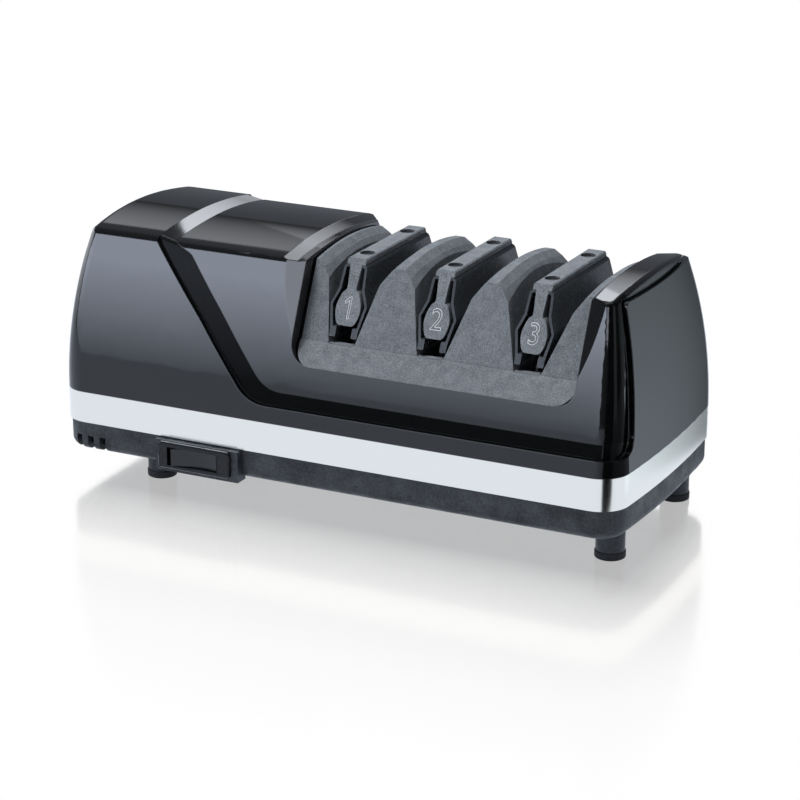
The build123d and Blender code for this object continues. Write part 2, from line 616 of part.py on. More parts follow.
def fin_roof(centre):
    """The crowned ridge and its two sloping facets, turned about an axis far below."""
    axis_z = FIN_PEAK - FIN_CROWN_RADIUS
    half = [(RIDGE_HALF, FIN_PEAK), (FACET_HALF, FIN_PEAK - FACET_DROP),
            (SHOULDER_HALF, FIN_PEAK - SHOULDER_DROP), (SHOULDER_HALF + 14, FIN_PEAK - SHOULDER_DROP - 17),
            (SHOULDER_HALF + 14, axis_z + 20)]
    points = [(centre + x, z) for x, z in half] + [(centre - x, z) for x, z in reversed(half)]
    return revolve(Plane.XZ * outline(points), Axis((0, 0, axis_z), (1, 0, 0)), 360)


def fin_places():
    """Centre and half-width at the foot of each fin; the outer two are cut off by the opening's walls."""
    first = SADDLE_LEFT
    last = SADDLE_RIGHT - END_FIN_OFFSET
    places = [(first, STAGE_X[0] - SLOT_HALF - first)]
    for left, right in zip(STAGE_X, STAGE_X[1:]):
        places.append(((left + right) / 2, (right - left) / 2 - SLOT_HALF))
    places.append((last, last - STAGE_X[-1] - SLOT_HALF))
    return places


def disc_room(x, radius=DISC_RADIUS + DISC_CLEARANCE):
    """The space that a pair of discs turns in."""
    reach = HUB_OUTER_X + PIN_GAP
    return rod(x - reach, x + reach, 2 * radius, "x", (0, SHAFT_Z))


def make_guide_insert():
    section = leaning_section()
    bed = along(saddle_outline(INSERT_GAP, SADDLE_FLOOR), HALF_WIDTH)
    low = box((-FAR, FAR), (-FAR, FAR), (SADDLE_FLOOR - 10, LEDGE_TOP))
    insert = bed & section & low
    for side in (-1, 1):
        seam_y = sorted((side * FIN_FOOT_HALF_Y, side * (FIN_FOOT_HALF_Y + SEAM_WIDTH)))
        insert = insert - box((-FAR, FAR), seam_y, (LEDGE_TOP - SEAM_DEPTH, LEDGE_TOP + 1))
    for centre, foot_half in fin_places():
        fin = across(fin_outline(centre, foot_half)) & section & fin_roof(centre) & bed
        insert = insert + fin
    for centre, foot_half in fin_places()[1:-1]:
        hollow = across(fin_outline(centre, foot_half, HOUSING_WALL, SADDLE_FLOOR - 1))
        ceiling = box((-FAR, FAR), (-FAR, FAR), (0, SHOULDER_Z))
        insert = insert - (hollow & leaning_section(LEDGE_WALL + 1, SADDLE_FLOOR - 1) & ceiling)
    pocket_y = FIN_FOOT_HALF_Y - LEDGE_WALL
    for x in STAGE_X:
        insert = insert - box((x - SLOT_HALF, x + SLOT_HALF), (-pocket_y, pocket_y), (SLOT_FLOOR, LEDGE_TOP + 1))
        insert = insert - disc_room(x)
        for side in (-1, 1):
            span = sorted((side * RIB_INNER_Y, side * (pocket_y + 1)))
            rib = box((x - RIB_HALF, x + RIB_HALF), span, (SADDLE_FLOOR, RIB_TOP))
            hole = rod(SADDLE_FLOOR - 1, RIB_TOP + 1, SCREW_SHANK + SCREW_FIT, at=(x, side * LEG_Y))
            insert = insert + rib - hole
    return insert


# ---------------------------------------------------------------- spines, caps and spring guides
def make_spine(x):
    web_low = CAP_TOP - CAP_BAR - WEB
    waist_z = PEAR_Z + WAIST_RISE
    right = Spline((PEAR_FOOT, PEAR_BOTTOM), (PEAR_HALF - 0.8, PEAR_BOTTOM + 2.2), (PEAR_HALF, PEAR_Z),
                   (PEAR_HALF - 1.0, PEAR_Z + 4.3), (WAIST_HALF + 1.0, PEAR_Z + 6.7), (WAIST_HALF, waist_z),
                   tangents=((1, 0.2), (0.02, 1)))
    edges = [right, mirror(right, Plane.YZ)]
    edges.append(Line((PEAR_FOOT, PEAR_BOTTOM), (-PEAR_FOOT, PEAR_BOTTOM)))
    for side in (-1, 1):
        edges.append(Line((side * WAIST_HALF, waist_z), (side * NECK_HALF, web_low)))
    edges.append(Line((NECK_HALF, web_low), (-NECK_HALF, web_low)))
    face = make_face([edge for line in edges for edge in line.edges()])
    spine = Pos(x, 0, 0) * along(face, HALF_WIDTH) & leaning_section()
    for side in (-1, 1):
        y = side * LEG_Y
        spine = spine + box((x - RIB_HALF, x + RIB_HALF), (y - LEG_LENGTH / 2, y + LEG_LENGTH / 2),
                            (RIB_TOP, PEAR_BOTTOM + 1))
        spine = spine - rod(RIB_TOP - 1, web_low + 1, SCREW_SHANK + SCREW_FIT, at=(x, y))
    return spine


def make_cap(x):
    web_top = CAP_TOP - CAP_BAR
    bar = box((x - CAP_HALF, x + CAP_HALF), (-CAP_HALF_Y - 2, CAP_HALF_Y + 2), (web_top, CAP_TOP))
    bar = chamfer(bar.edges().filter_by(Axis.Y).group_by(Axis.Z)[-1], 0.5)
    for side in (-1, 1):
        span = sorted((side * (WEB_HALF_Y + SCREW_FIT), side * (CAP_HALF_Y + 2)))
        bar = bar + box((x - NECK_HALF, x + NECK_HALF), span, (web_top - WEB, web_top))
    cap = bar & leaning_section()
    for side in (-1, 1):
        cap = cap - rod(CAP_TOP - RECESS_DEPTH, CAP_TOP + 1, RECESS_DIAMETER, at=(x, side * LEG_Y))
        cap = cap - rod(web_top - 2, CAP_TOP, SCREW_SHANK + SCREW_FIT, at=(x, side * LEG_Y))
    return cap


def make_spring_guide(x):
    web_top = CAP_TOP - CAP_BAR
    web_low = web_top - WEB
    outer = [(0, web_top), (5.0, web_top), (5.6, 92.2), (8.1, 86.2), (6.2, 77.0), (6.1, 74.2)]
    inner = [(3.5, 74.2), (3.5, 78.0), (5.3, 78.0), (8.1 - LEAF, 86.1), (5.6 - LEAF, 91.8),
             (5.0 - LEAF, web_low), (0, web_low)]
    half = FilletPolyline(*(outer + inner), radius=[1.8, 2.0, 1.5, 4.0, 0.4, 0.4, 0.4, 0, 0.6, 2.5, 0.5])
    closing = Line((0, web_low), (0, web_top))
    face = make_face(half.edges() + closing.edges())
    face = face + mirror(face, Plane.YZ)
    guide = Pos(x, 0, 0) * along(face, HALF_WIDTH) & leaning_section()
    guide = guide - disc_room(x)
    for side in (-1, 1):
        span = sorted((side * WEB_HALF_Y, side * HALF_WIDTH))
        guide = guide - box((x - NECK_HALF - SCREW_FIT, x + NECK_HALF + SCREW_FIT), span, (web_low - 1, CAP_TOP))
        guide = guide - rod(web_low - 1, CAP_TOP, SCREW_SHANK + SCREW_FIT, at=(x, side * LEG_Y))
    return guide


def make_spine_screws(x):
    seat = CAP_TOP - RECESS_DEPTH
    screws = []
    for side in (-1, 1):
        at = (x, side * LEG_Y)
        shank = rod(SADDLE_FLOOR + 0.5, seat, SCREW_SHANK, at=at)
        screws.append(shank + rod(seat, seat + SCREW_HEAD_HEIGHT, SCREW_HEAD, at=at))
    return screws


# ---------------------------------------------------------------- discs and shaft
def make_disc(x, side):
    inner = DISC_INNER_X
    outer = inner + DISC_THICKNESS
    bore = SHAFT_RADIUS + RUNNING_FIT
    profile = [(inner, bore), (HUB_OUTER_X, bore), (HUB_OUTER_X, HUB_RADIUS), (inner + 2.5, HUB_RADIUS),
               (inner + 2.5, DISC_RIM_RADIUS - 3), (outer, DISC_RIM_RADIUS - 2), (outer, DISC_RIM_RADIUS),
               (inner + 0.8, DISC_RADIUS), (inner, DISC_RADIUS)]
    face = outline([(side * along_x, radius) for along_x, radius in profile])
    return Pos(x, 0, SHAFT_Z) * revolve(Plane.XZ * face, Axis.X, 360)


def make_stage_spring(x):
    pitch = (2 * DISC_INNER_X - SPRING_WIRE - 0.2) / SPRING_TURNS
    path = Helix(pitch=pitch, height=pitch * SPRING_TURNS, radius=SPRING_RADIUS)
    section = Plane(origin=path @ 0, z_dir=path % 0) * RegularPolygon(SPRING_WIRE / 2, 6)
    coil = sweep(section, path=path, is_frenet=True)
    return Pos(x - pitch * SPRING_TURNS / 2, 0, SHAFT_Z) * Rot(0, 90, 0) * coil


def pin_places():
    """The pins that stop the two discs of each stage."""
    offset = HUB_OUTER_X + PIN_GAP + PIN_DIAMETER / 2
    return [(x - offset, x + offset) for x in STAGE_X]


def make_stop_pins():
    return [rod(SHAFT_Z - PIN_LENGTH / 2, SHAFT_Z + PIN_LENGTH / 2, PIN_DIAMETER, at=(x, 0))
            for pair in pin_places() for x in pair]


def make_drive_shaft():
    shaft = rod(SHAFT_LEFT, SHAFT_RIGHT, SHAFT_DIAMETER, "x", (0, SHAFT_Z))
    for pair in pin_places():
        for x in pair:
            shaft = shaft - rod(SHAFT_Z - 5, SHAFT_Z + 5, PIN_DIAMETER, at=(x, 0))
    return shaft


# ---------------------------------------------------------------- motor
def make_motor_stator():
    half = STATOR_SIDE / 2
    core = box((STATOR_LEFT, STATOR_RIGHT), (-half, half), (SHAFT_Z - half, SHAFT_Z + half))
    core = chamfer(core.edges().filter_by(Axis.X), STATOR_CHAMFER)
    core = core - rod(STATOR_LEFT - 1, STATOR_RIGHT + 1, ROTOR_DIAMETER + 2 * AIR_GAP, "x", (0, SHAFT_Z))
    for side in (-1, 1):
        for level in (-1, 1):
            y = sorted((side * COIL_INNER_HALF, side * COIL_OUTER_HALF))
            z = sorted((SHAFT_Z + level * COIL_NEAR, SHAFT_Z + level * COIL_FAR))
            core = core - box((STATOR_LEFT - 1, STATOR_RIGHT + 1), (y[0] - COIL_FIT, y[1] + COIL_FIT),
                              (z[0] - COIL_FIT, z[1] + COIL_FIT))
            core = core - rod(STATOR_LEFT - 1, STATOR_RIGHT + 1, MOTOR_SCREW + 2 * SCREW_FIT, "x",
                              (side * MOTOR_SCREW_Y, SHAFT_Z + level * MOTOR_SCREW_Y))
    return core


def make_motor_coil(level):
    """A field coil round the upper (1) or lower (-1) pole of the stator."""
    z = sorted((SHAFT_Z + level * COIL_NEAR, SHAFT_Z + level * COIL_FAR))
    outer = box((STATOR_LEFT - COIL_OVERHANG, STATOR_RIGHT + COIL_OVERHANG), (-COIL_OUTER_HALF, COIL_OUTER_HALF), z)
    outer = fillet(outer.edges().filter_by(Axis.Z), COIL_CORNER)
    inner = box((STATOR_LEFT - COIL_FIT, STATOR_RIGHT + COIL_FIT), (-COIL_INNER_HALF, COIL_INNER_HALF),
                (z[0] - 1, z[1] + 1))
    return outer - inner


def make_motor_bracket(face_x, way):
    """An end bracket: a plate with four pillars on the stator's face and a foot on the tub's floor."""
    half = STATOR_SIDE / 2
    pillar_x = sorted((face_x, face_x + way * BRACKET_GAP))
    plate_x = sorted((face_x + way * BRACKET_GAP, face_x + way * (BRACKET_GAP + BRACKET_SHEET)))
    floor_z = TUB_BOTTOM + TUB_FLOOR
    bracket = box(plate_x, (-half, half), (floor_z, SHAFT_Z + half))
    bracket = chamfer(bracket.edges().filter_by(Axis.X), STATOR_CHAMFER)
    bracket = bracket + box(sorted((face_x, plate_x[0])) if way > 0 else (plate_x[1], face_x),
                            (-half + BRACKET_FOOT_INSET, half - BRACKET_FOOT_INSET), (floor_z, floor_z + BRACKET_SHEET))
    for side in (-1, 1):
        for level in (-1, 1):
            at = (side * MOTOR_SCREW_Y, SHAFT_Z + level * MOTOR_SCREW_Y)
            bracket = bracket + rod(pillar_x[0], pillar_x[1], PILLAR_DIAMETER, "x", at)
            bracket = bracket - rod(pillar_x[0] - 5, pillar_x[1] + 5, MOTOR_SCREW + 2 * SCREW_FIT, "x", at)
    return bracket - rod(plate_x[0] - 1, plate_x[1] + 1, BUSH_DIAMETER, "x", (0, SHAFT_Z))


def make_bush(plate_x):
    """A plain bearing pressed into a plate whose middle is at plate_x."""
    bush = rod(plate_x - BUSH_LENGTH / 2, plate_x + BUSH_LENGTH / 2, BUSH_DIAMETER, "x", (0, SHAFT_Z))
    return bush - rod(plate_x - BUSH_LENGTH, plate_x + BUSH_LENGTH, SHAFT_DIAMETER + 2 * RUNNING_FIT, "x",
                      (0, SHAFT_Z))


def make_motor_screws():
    left = STATOR_LEFT - BRACKET_GAP - BRACKET_SHEET
    right = STATOR_RIGHT + BRACKET_GAP + BRACKET_SHEET
    screws = []
    for side in (-1, 1):
        for level in (-1, 1):
            at = (side * MOTOR_SCREW_Y, SHAFT_Z + level * MOTOR_SCREW_Y)
            screw = rod(left, right + MOTOR_NUT_HEIGHT, MOTOR_SCREW, "x", at)
            screw = screw + rod(left - MOTOR_SCREW_HEAD_HEIGHT, left, MOTOR_SCREW_HEAD, "x", at)
            screws.append(screw + rod(right, right + MOTOR_NUT_HEIGHT, MOTOR_SCREW_HEAD, "x", at))
    return screws


def make_rotor():
    rotor = rod(STATOR_LEFT + ROTOR_END_GAP, STATOR_RIGHT - ROTOR_END_GAP, ROTOR_DIAMETER, "x", (0, SHAFT_Z))
    return rotor - rod(STATOR_LEFT - 1, STATOR_RIGHT + 1, SHAFT_DIAMETER, "x", (0, SHAFT_Z))


def make_cooling_fan():
    hub = rod(FAN_LEFT, FAN_LEFT + FAN_WIDTH, FAN_HUB_DIAMETER, "x", (0, SHAFT_Z))
    fan = hub + rod(FAN_LEFT + FAN_WIDTH - FAN_DISC, FAN_LEFT + FAN_WIDTH, 2 * FAN_RADIUS, "x", (0, SHAFT_Z))
    blade = box((FAN_LEFT, FAN_LEFT + FAN_WIDTH), (-FAN_BLADE / 2, FAN_BLADE / 2),
                (SHAFT_DIAMETER, FAN_RADIUS))
    for index in range(FAN_BLADES):
        fan = fan + Pos(0, 0, SHAFT_Z) * Rot(index * 360 / FAN_BLADES, 0, 0) * blade
    return fan - rod(FAN_LEFT - 1, FAN_LEFT + FAN_WIDTH + 1, SHAFT_DIAMETER, "x", (0, SHAFT_Z))


def make_far_end_bracket():
    floor_z = TUB_BOTTOM + TUB_FLOOR
    x = (FAR_BRACKET_X, FAR_BRACKET_X + BRACKET_SHEET)
    plate = box(x, (-FAR_BRACKET_HALF, FAR_BRACKET_HALF), (floor_z, SHAFT_Z + FAR_BRACKET_RISE))
    plate = chamfer(plate.edges().filter_by(Axis.X), FAR_BRACKET_CHAMFER)
    plate = plate + box((x[0], x[1] + FAR_FOOT_LENGTH), (-FAR_FOOT_HALF, FAR_FOOT_HALF),
                        (floor_z, floor_z + BRACKET_SHEET))
    return plate - rod(x[0] - 1, x[1] + 1, BUSH_DIAMETER, "x", (0, SHAFT_Z))


# ---------------------------------------------------------------- the parts
def all_parts():
    parts = {
        "upper_housing": make_upper_housing(),
        "trim_band": make_trim_band(),
        "base_tub": make_base_tub(),
        "guide_insert": make_guide_insert(),
        "switch_bezel": make_switch_bezel(),
        "switch_body": make_switch_body(),
        "rocker_button": make_rocker_button(),
        "cord_inlet_bush": make_cord_inlet_bush(),
        "housing_screws": make_housing_screws(),
        "clean_out_cover": make_clean_out_cover(),
        "clean_out_magnet": make_clean_out_magnet(),
        "drive_shaft": make_drive_shaft(),
        "stop_pins": make_stop_pins(),
        "motor_stator": make_motor_stator(),
        "motor_coil_upper": make_motor_coil(1),
        "motor_coil_lower": make_motor_coil(-1),
        "motor_bracket_left": make_motor_bracket(STATOR_LEFT, -1),
        "motor_bracket_right": make_motor_bracket(STATOR_RIGHT, 1),
        "motor_bush_left": make_bush(STATOR_LEFT - BRACKET_GAP - BRACKET_SHEET / 2),
        "motor_bush_right": make_bush(STATOR_RIGHT + BRACKET_GAP + BRACKET_SHEET / 2),
        "motor_screws": make_motor_screws(),
        "rotor": make_rotor(),
        "cooling_fan": make_cooling_fan(),
        "far_end_bracket": make_far_end_bracket(),
        "far_end_bush": make_bush(FAR_BRACKET_X + BRACKET_SHEET / 2),
    }
    for end, x in (("left", FOOT_X_LEFT), ("right", FOOT_X_RIGHT)):
        for place, y in (("front", -FOOT_Y), ("rear", FOOT_Y)):
            parts[f"foot_pad_{place}_{end}"] = make_foot_pad(x, y)
    for number, x in enumerate(STAGE_X, 1):
        parts[f"stage_{number}_spine"] = make_spine(x)
        parts[f"stage_{number}_cap"] = make_cap(x)
        parts[f"stage_{number}_spring_guide"] = make_spring_guide(x)
        parts[f"stage_{number}_screws"] = make_spine_screws(x)
        parts[f"stage_{number}_disc_left"] = make_disc(x, -1)
        parts[f"stage_{number}_disc_right"] = make_disc(x, 1)
        parts[f"stage_{number}_spring"] = make_stage_spring(x)
    return parts


def solids_of(shape):
    """The separate solids of a part, which may be a list of like pieces."""
    if isinstance(shape, list):
        return [solid for piece in shape for solid in piece.solids()]
    return shape.solids()


os.makedirs("parts", exist_ok=True)
for name, shape in all_parts().items():
    solids = solids_of(shape)
    whole = solids[0] if len(solids) == 1 else Compound(children=solids)
    export_step(whole, f"parts/{name}.step")
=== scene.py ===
from math import cos, radians, sin

import bmesh
import bpy
from mathutils import Matrix, Vector


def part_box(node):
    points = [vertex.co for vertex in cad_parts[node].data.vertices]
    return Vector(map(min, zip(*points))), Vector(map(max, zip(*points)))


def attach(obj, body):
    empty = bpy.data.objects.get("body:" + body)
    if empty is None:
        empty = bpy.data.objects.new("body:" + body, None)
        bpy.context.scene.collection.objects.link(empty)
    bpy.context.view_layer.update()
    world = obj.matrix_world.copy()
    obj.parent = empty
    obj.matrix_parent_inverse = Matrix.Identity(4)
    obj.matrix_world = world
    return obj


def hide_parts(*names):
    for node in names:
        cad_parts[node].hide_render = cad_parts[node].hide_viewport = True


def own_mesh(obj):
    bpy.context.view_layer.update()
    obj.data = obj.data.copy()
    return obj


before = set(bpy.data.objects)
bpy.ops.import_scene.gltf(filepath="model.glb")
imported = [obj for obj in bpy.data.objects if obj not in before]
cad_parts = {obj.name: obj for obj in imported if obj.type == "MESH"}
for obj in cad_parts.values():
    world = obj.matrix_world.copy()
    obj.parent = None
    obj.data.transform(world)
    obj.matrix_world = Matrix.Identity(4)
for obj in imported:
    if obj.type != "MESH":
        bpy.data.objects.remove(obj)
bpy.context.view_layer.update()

MM = 0.001

# ---------------------------------------------------------------- camera
# It looks at the front and the right-hand end from a little above, through a long lens.
AIM = Vector((6.73, 0.0, 36.48)) * MM
CAMERA_AZIMUTH = radians(26.39)
CAMERA_ELEVATION = radians(19.14)
CAMERA_DISTANCE = 1090.15 * MM
LENS_MM = 118.9
SENSOR_MM = 36.0
towards_camera = Vector((sin(CAMERA_AZIMUTH) * cos(CAMERA_ELEVATION),
                         -cos(CAMERA_AZIMUTH) * cos(CAMERA_ELEVATION), sin(CAMERA_ELEVATION)))
camera = bpy.data.objects.new("camera", bpy.data.cameras.new("camera"))
camera.data.lens = LENS_MM
camera.data.sensor_width = SENSOR_MM
camera.data.sensor_fit = "HORIZONTAL"
camera.location = AIM + towards_camera * CAMERA_DISTANCE
camera.rotation_mode = "QUATERNION"
camera.rotation_quaternion = (-towards_camera).to_track_quat("-Z", "Y")
bpy.context.scene.collection.objects.link(camera)
bpy.context.scene.camera = camera
bpy.context.scene.view_settings.view_transform = "Standard"


# ---------------------------------------------------------------- room
# A white room with a dim world: the world's light is soft and low, its mirror image in the gloss of the
# housing is dark, and the camera sees it white. Rays that the floor mirrors see it white as well.
WORLD_LIGHT = 0.15
WORLD_MIRRORED = 0.2
HALF_A_PASS = 0.5              # a transparent depth above this means that the ray has passed the floor's film


def linear(hexa):
    """An sRGB hex colour as Blender's linear values, with an alpha of 1."""
    values = [int(hexa[k:k + 2], 16) / 255 for k in (1, 3, 5)]
    return [v / 12.92 if v <= 0.04045 else ((v + 0.055) / 1.055) ** 2.4 for v in values] + [1.0]


def add(tree, kind, links=(), **settings):
    """Adds a node; settings name its properties or inputs, and links are (input, socket) pairs."""
    node = tree.nodes.new("ShaderNode" + kind)
    for name, value in settings.items():
        if hasattr(node, name) and name not in node.inputs:
            setattr(node, name, value)
        else:
            key = int(name[1:]) if name[0] == "i" and name[1:].isdigit() else name.replace("_", " ")
            node.inputs[key].default_value = value
    for key, socket in links:
        tree.links.new(socket, node.inputs[key])
    return node


world = bpy.data.worlds.new("studio")
bpy.context.scene.world = world
world.use_nodes = True
sky = world.node_tree
sky.nodes.clear()
ray = add(sky, "LightPath")
lit = add(sky, "Background", Color=linear("#ffffff"), Strength=WORLD_LIGHT)
mirrored = add(sky, "Background", Color=linear("#e9f0ff"), Strength=WORLD_MIRRORED)
seen = add(sky, "Background", Color=linear("#ffffff"), Strength=1.0)
lit_or_mirrored = add(sky, "MixShader", [(0, ray.outputs["Is Glossy Ray"]), (1, lit.outputs[0]),
                                         (2, mirrored.outputs[0])])
by_floor = add(sky, "Math", [(0, ray.outputs["Transparent Depth"])], operation="GREATER_THAN",
               i1=HALF_A_PASS)
in_floor = add(sky, "Math", [(0, by_floor.outputs[0]), (1, ray.outputs["Is Glossy Ray"])],
               operation="MULTIPLY")
off_floor = add(sky, "MixShader", [(0, in_floor.outputs[0]), (1, lit_or_mirrored.outputs[0]),
                                   (2, seen.outputs[0])])
whole_sky = add(sky, "MixShader", [(0, ray.outputs["Is Camera Ray"]), (1, off_floor.outputs[0]),
                                   (2, seen.outputs[0])])
add(sky, "OutputWorld", [(0, whole_sky.outputs[0])])


# ---------------------------------------------------------------- floor
# White coated paper. Close to the object it mirrors it softly, and the image dies away a hand's breadth
# out, where the paper is plain white. The housing's gloss sees it pale near by and dark further off.
FLOOR_HALF = 6000.0
FLOOR_FADE = (0.85, 1.35)      # metres from the object over which the mirrored floor grows dark
FLOOR_MIRRORED = (1.2, 0.15)   # its strength in the gloss before and after that
FOOTPRINT = (0.127, 0.054)     # half sizes of the object's outline on the floor, in metres
GLOSS_REACH = 0.046            # metres outside it over which the polish of the floor dies away
GLOSS = 0.54
GLOSS_BLUR = 0.13


def flat_mesh(name, corners):
    """A one-face mesh object through the corners."""
    bm = bmesh.new()
    bm.faces.new([bm.verts.new(Vector(c) * MM) for c in corners])
    mesh = bpy.data.meshes.new(name)
    bm.to_mesh(mesh)
    bm.free()
    obj = bpy.data.objects.new(name, mesh)
    bpy.context.scene.collection.objects.link(obj)
    return obj


floor = flat_mesh("floor", [(-FLOOR_HALF, -FLOOR_HALF, 0), (FLOOR_HALF, -FLOOR_HALF, 0),
                            (FLOOR_HALF, FLOOR_HALF, 0), (-FLOOR_HALF, FLOOR_HALF, 0)])
paper = bpy.data.materials.new("white_paper_sweep")
paper.use_nodes = True
tree = paper.node_tree
tree.nodes.clear()
ray = add(tree, "LightPath")
place = add(tree, "TexCoord")
distance = add(tree, "VectorMath", [(0, place.outputs["Object"])], operation="LENGTH")
fade = add(tree, "MapRange", [(0, distance.outputs["Value"])], From_Min=FLOOR_FADE[0],
           From_Max=FLOOR_FADE[1], To_Min=FLOOR_MIRRORED[0], To_Max=FLOOR_MIRRORED[1])
flat = add(tree, "SeparateXYZ", [(0, place.outputs["Object"])])
beyond = []
for axis, half in zip("XY", FOOTPRINT):
    size = add(tree, "Math", [(0, flat.outputs[axis])], operation="ABSOLUTE")
    past = add(tree, "Math", [(0, size.outputs[0])], operation="SUBTRACT", i1=half)
    beyond.append(add(tree, "Math", [(0, past.outputs[0])], operation="MAXIMUM", i1=0.0))
outside = add(tree, "CombineXYZ", [(0, beyond[0].outputs[0]), (1, beyond[1].outputs[0])])
away = add(tree, "VectorMath", [(0, outside.outputs[0])], operation="LENGTH")
steps = add(tree, "Math", [(0, away.outputs["Value"])], operation="MULTIPLY", i1=-1 / GLOSS_REACH)
fall = add(tree, "Math", [(0, steps.outputs[0])], operation="EXPONENT")
polish = add(tree, "Math", [(0, fall.outputs[0])], operation="MULTIPLY", i1=GLOSS)
diffuse = add(tree, "BsdfDiffuse", Color=linear("#fafafa"))
glow = add(tree, "Emission", Color=linear("#ffffff"), Strength=1.0)
mirror = add(tree, "BsdfGlossy", Color=linear("#ffffff"), Roughness=GLOSS_BLUR)
paper_seen = add(tree, "MixShader", [(0, polish.outputs[0]), (1, glow.outputs[0]), (2, mirror.outputs[0])])
paper_mirrored = add(tree, "Emission", [("Strength", fade.outputs[0])], Color=linear("#e4edfc"))
bounce = add(tree, "Math", [(0, ray.outputs["Is Glossy Ray"]), (1, ray.outputs["Is Transmission Ray"])],
             operation="MAXIMUM")
paper_lit = add(tree, "MixShader", [(0, ray.outputs["Is Camera Ray"]), (1, diffuse.outputs[0]),
                                    (2, paper_seen.outputs[0])])
whole = add(tree, "MixShader", [(0, bounce.outputs[0]), (1, paper_lit.outputs[0]),
                                (2, paper_mirrored.outputs[0])])
add(tree, "OutputMaterial", [(0, whole.outputs[0])])
floor.data.materials.append(paper)

# A clear film just above the floor. Rays that the floor mirrors have passed it, so the world shows them
# plain white and the soft boxes nothing, and only the object's own image is left in the polish.
FILM_Z = 0.02
film = flat_mesh("floor_film", [(-FLOOR_HALF, -FLOOR_HALF, FILM_Z), (FLOOR_HALF, -FLOOR_HALF, FILM_Z),
                                (FLOOR_HALF, FLOOR_HALF, FILM_Z), (-FLOOR_HALF, FLOOR_HALF, FILM_Z)])
clear = bpy.data.materials.new("clear_film")
clear.use_nodes = True
clear.node_tree.nodes.clear()
add(clear.node_tree, "OutputMaterial", [(0, add(clear.node_tree, "BsdfTransparent").outputs[0])])
film.data.materials.append(clear)
film.visible_shadow = False


# ---------------------------------------------------------------- soft boxes
# Panels whose shapes show in the gloss of the housing. Glossy rays alone see them, so they draw
# reflections without adding light to the object, and each is graded from one end to the other.
def soft_box(name, corners, low, high, tint="#f3f7ff", axis="Z"):
    """Corners in mm; low and high are (place in mm along axis, strength) and grade the panel."""
    panel = flat_mesh(name, corners)
    material = bpy.data.materials.new(name + "_light")
    material.use_nodes = True
    tree = material.node_tree
    tree.nodes.clear()
    place = add(tree, "TexCoord")
    axes = add(tree, "SeparateXYZ", [(0, place.outputs["Object"])])
    grade = add(tree, "MapRange", [(0, axes.outputs[axis])], From_Min=low[0] * MM, From_Max=high[0] * MM,
                To_Min=low[1], To_Max=high[1])
    light = add(tree, "Emission", [("Strength", grade.outputs[0])], Color=linear(tint))
    unseen = add(tree, "BsdfTransparent")
    by_floor = add(tree, "Math", [(0, add(tree, "LightPath").outputs["Transparent Depth"])],
                   operation="GREATER_THAN", i1=HALF_A_PASS)
    either = add(tree, "MixShader", [(0, by_floor.outputs[0]), (1, light.outputs[0]), (2, unseen.outputs[0])])
    add(tree, "OutputMaterial", [(0, either.outputs[0])])
    panel.data.materials.append(material)
    panel.visible_camera = False
    panel.visible_diffuse = False
    panel.visible_shadow = False
    panel.visible_transmission = False


# In front, low at the left: grades the tall front faces from dark at the band to pale at the top.
FRONT_Y = -650.0
FRONT_TOP = 440.0
soft_box("soft_box_front_left", [(-1500, FRONT_Y, 0), (60, FRONT_Y, 0), (60, FRONT_Y, FRONT_TOP),
                                 (-1500, FRONT_Y, FRONT_TOP)], (0, 1.7), (320, 7.0), "#e2ecff")

# Seen in the triangular facets beside the opening.
soft_box("soft_box_facets", [(150, FRONT_Y, 310), (330, FRONT_Y, 310), (330, FRONT_Y, 480),
                             (150, FRONT_Y, 480)], (310, 6.0), (480, 6.5), "#dde3f2")

# To the right and a little in front.
soft_box("soft_box_right", [(620, -260, 0), (620, -90, 0), (620, -90, 420), (620, -260, 420)],
         (0, 3.0), (420, 7.0))

# A narrow strip far behind, seen along the whole of the ramp and in nothing else that lies flat.
soft_box("soft_box_ramp", [(-2345, 5000, 900), (-2130, 5000, 900), (-2130, 5000, 6600),
                           (-2345, 5000, 6600)], (1400, 1.2), (4600, 6.6))

# Three panels side by side far behind: the flat tops pick them up towards their front edges. Each is dim
# at its foot and paler higher up.
BEHIND_Y = 5200.0
BEHIND_FOOT = 1900.0
for name, right, left, top, low, high in (
        ("soft_box_behind_right", -1300, -2400, 5700, (2000, 0.3), (4000, 3.4)),
        ("soft_box_behind", -2400, -3080, 3780, (2000, 0.1), (3750, 2.5)),
        ("soft_box_behind_left", -3080, -4200, 3780, (2000, 0.1), (3750, 1.3))):
    soft_box(name, [(right, BEHIND_Y, BEHIND_FOOT), (left, BEHIND_Y, BEHIND_FOOT), (left, BEHIND_Y, top),
                    (right, BEHIND_Y, top)], low, high)

# Beside the left-hand end.
soft_box("soft_box_left", [(-900, -300, 0), (-900, 500, 0), (-900, 500, 380), (-900, -300, 380)],
         (0, 1.2), (380, 5.0))

# Beside the right-hand end, dark at the rear.
soft_box("soft_box_end", [(130, 125, 0), (192, -5, 0), (192, -5, 125), (130, 125, 125)],
         (138, 0.3), (178, 1.45), "#dbe8f3", "X")

# A black card close to the front right corner draws its dark upright line.
soft_box("dark_card", [(135, -85, 0), (192, -85, 0), (192, -85, 500), (135, -85, 500)],
         (0, 0.0), (500, 0.0))


# ---------------------------------------------------------------- lamps
# Three square lamps, which the gloss doesn't show. The two overhead are far the stronger, so that the tops
# and the ledge are paler than the faces that stand upright.
def lamp(name, location, watts, size_m):
    """A square lamp that points at the object; its place is in mm."""
    data = bpy.data.lights.new(name, "AREA")
    data.energy = watts
    data.size = size_m
    obj = bpy.data.objects.new(name, data)
    obj.location = Vector(location) * MM
    obj.rotation_mode = "QUATERNION"
    obj.rotation_quaternion = (AIM - obj.location).to_track_quat("-Z", "Y")
    obj.visible_glossy = False
    bpy.context.scene.collection.objects.link(obj)


